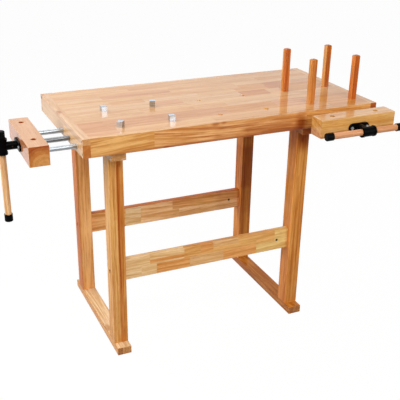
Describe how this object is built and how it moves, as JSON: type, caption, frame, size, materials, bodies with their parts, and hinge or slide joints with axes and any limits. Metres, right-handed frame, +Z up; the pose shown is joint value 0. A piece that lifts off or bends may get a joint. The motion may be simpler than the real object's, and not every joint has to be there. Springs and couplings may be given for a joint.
{
  "type": "woodworking bench with vises",
  "caption": "Wooden workbench on sled legs with an end vise and a front vise with wooden jaws, and with steel dogs and wooden pegs in round dog holes in its flat top.",
  "frame": {"origin": "on the floor, under the middle of the bounding box of the bench with both vises", "axes": "+Z up; +X along the bench, away from the end vise; the front, with the front vise, faces -Y"},
  "size_m": [1.372, 0.735, 1.013],
  "materials": {
    "panel_wood": "clear lacquer, glossy",
    "board_wood": "clear lacquer, glossy",
    "frame_wood": "clear lacquer, satin",
    "jaw_wood": "clear lacquer, glossy",
    "bar_wood": "clear lacquer, satin",
    "peg_wood": "clear lacquer, satin",
    "dog_steel": "ground",
    "bright_steel": "zinc plated",
    "screw_steel": "machined, oiled",
    "dark_steel": "black oxide",
    "black_iron": "gloss black paint",
    "black_plastic": "gloss"
  },
  "bodies": {
    "bench": {"barrel_nuts": "dark_steel", "corner_screws": "dark_steel", "end_guide_plate": "dark_steel", "end_plate_screws": "dark_steel", "frame_bolts": "dark_steel", "front_apron": "board_wood", "front_guide_plate": "dark_steel", "front_plate_screws": "dark_steel", "front_stretcher": "frame_wood", "left_bearer": "frame_wood", "left_end_board": "board_wood", "left_foot": "frame_wood", "left_front_leg": "frame_wood", "left_rear_leg": "frame_wood", "left_top_rail": "frame_wood", "rear_apron": "board_wood", "rear_stretcher": "frame_wood", "right_bearer": "frame_wood", "right_end_board": "board_wood", "right_foot": "frame_wood", "right_front_leg": "frame_wood", "right_rear_leg": "frame_wood", "right_top_rail": "frame_wood", "stretcher_bolts": "dark_steel", "stretcher_dowels": "frame_wood", "top_panel": "panel_wood"},
    "end_jaw": {"end_jaw": "jaw_wood", "end_guide_rods": "bright_steel", "end_flange": "black_iron", "end_flange_bolts": "bright_steel"},
    "end_screw": {"end_screw": "screw_steel", "end_screw_collar": "bright_steel", "end_hub": "black_iron", "end_hub_pin": "bright_steel"},
    "end_handle": {"end_handle_bar": "bar_wood", "end_handle_caps": "black_plastic"},
    "front_jaw": {"front_jaw": "jaw_wood", "front_guide_rods": "bright_steel", "front_flange": "black_iron", "front_flange_bolts": "bright_steel"},
    "front_screw": {"front_screw": "screw_steel", "front_screw_collar": "bright_steel", "front_hub": "black_iron", "front_hub_pin": "bright_steel"},
    "front_handle": {"front_handle_bar": "bar_wood", "front_handle_caps": "black_plastic"},
    "steel_dog_1": {"steel_dog_1": "dog_steel"},
    "steel_dog_2": {"steel_dog_2": "dog_steel"},
    "steel_dog_3": {"steel_dog_3": "dog_steel"},
    "steel_dog_4": {"steel_dog_4": "dog_steel"},
    "wooden_peg_1": {"wooden_peg_1": "peg_wood"},
    "wooden_peg_2": {"wooden_peg_2": "peg_wood"},
    "wooden_peg_3": {"wooden_peg_3": "peg_wood"},
    "wooden_peg_4": {"wooden_peg_4": "peg_wood"}
  },
  "joints": [
    {"name": "end_jaw_slide", "type": "slide", "parent": "bench", "child": "end_jaw", "axis": [1, 0, 0], "range_m": [-0.047, 0.1027]},
    {"name": "end_screw_turn", "type": "hinge", "parent": "end_jaw", "child": "end_screw", "pos_m": [-0.546, -0.0325, 0.804], "axis": [1, 0, 0], "range_deg": [-4229, 9242]},
    {"name": "end_handle_slide", "type": "slide", "parent": "end_screw", "child": "end_handle", "axis": [0, 0, 1], "range_m": [0, 0.213]},
    {"name": "front_jaw_slide", "type": "slide", "parent": "bench", "child": "front_jaw", "axis": [0, 1, 0], "range_m": [-0.117, 0.0327]},
    {"name": "front_screw_turn", "type": "hinge", "parent": "front_jaw", "child": "front_screw", "pos_m": [0.532, -0.2275, 0.804], "axis": [0, 1, 0], "range_deg": [-10529, 2942]},
    {"name": "front_handle_slide", "type": "slide", "parent": "front_screw", "child": "front_handle", "axis": [1, 0, 0], "range_m": [-0.0945, 0.1185]},
    {"name": "steel_dog_1_lift", "type": "slide", "parent": "bench", "child": "steel_dog_1", "axis": [0, 0, 1], "range_m": [0, 0.045]},
    {"name": "steel_dog_2_lift", "type": "slide", "parent": "bench", "child": "steel_dog_2", "axis": [0, 0, 1], "range_m": [0, 0.045]},
    {"name": "steel_dog_3_lift", "type": "slide", "parent": "bench", "child": "steel_dog_3", "axis": [0, 0, 1], "range_m": [0, 0.045]},
    {"name": "steel_dog_4_lift", "type": "slide", "parent": "bench", "child": "steel_dog_4", "axis": [0, 0, 1], "range_m": [0, 0.045]},
    {"name": "wooden_peg_1_lift", "type": "slide", "parent": "bench", "child": "wooden_peg_1", "axis": [0, 0, 1], "range_m": [0, 0.045]},
    {"name": "wooden_peg_2_lift", "type": "slide", "parent": "bench", "child": "wooden_peg_2", "axis": [0, 0, 1], "range_m": [0, 0.045]},
    {"name": "wooden_peg_3_lift", "type": "slide", "parent": "bench", "child": "wooden_peg_3", "axis": [0, 0, 1], "range_m": [0, 0.045]},
    {"name": "wooden_peg_4_lift", "type": "slide", "parent": "bench", "child": "wooden_peg_4", "axis": [0, 0, 1], "range_m": [0, 0.045]}
  ],
  "couplings": [
    {"joint": "end_jaw_slide", "follows": "end_screw_turn", "m_per_rad": 0.00063662},
    {"joint": "front_jaw_slide", "follows": "front_screw_turn", "m_per_rad": 0.00063662}
  ]
}
